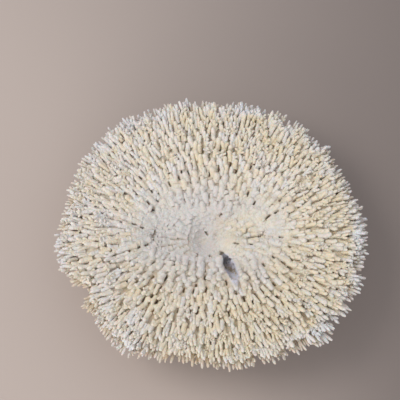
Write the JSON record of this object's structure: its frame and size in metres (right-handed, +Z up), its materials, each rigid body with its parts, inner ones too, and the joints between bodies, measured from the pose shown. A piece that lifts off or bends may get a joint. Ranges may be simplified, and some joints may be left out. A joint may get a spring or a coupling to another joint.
{
  "type": "acropora coral",
  "caption": "Dried table coral skeleton: a shallow bowl of forking fronds, covered with leaning finger-like branchlets, on a short stalk that is cut off flat.",
  "frame": {"origin": "middle of the flat cut under the stalk, where the colony grew on rock", "axes": "+X along the colony's longer side, +Y along its shorter side, away from the picture's viewer, +Z up"},
  "size_m": [0.3012, 0.2747, 0.0791],
  "materials": {
    "skeleton": "matte"
  },
  "bodies": {
    "root": {"stalk": "skeleton", "frond_01": "skeleton", "frond_02": "skeleton", "frond_03": "skeleton", "frond_04": "skeleton", "frond_05": "skeleton", "frond_06": "skeleton", "frond_07": "skeleton", "frond_08": "skeleton", "frond_09": "skeleton", "frond_10": "skeleton", "frond_11": "skeleton", "frond_12": "skeleton"}
  },
  "joints": []
}
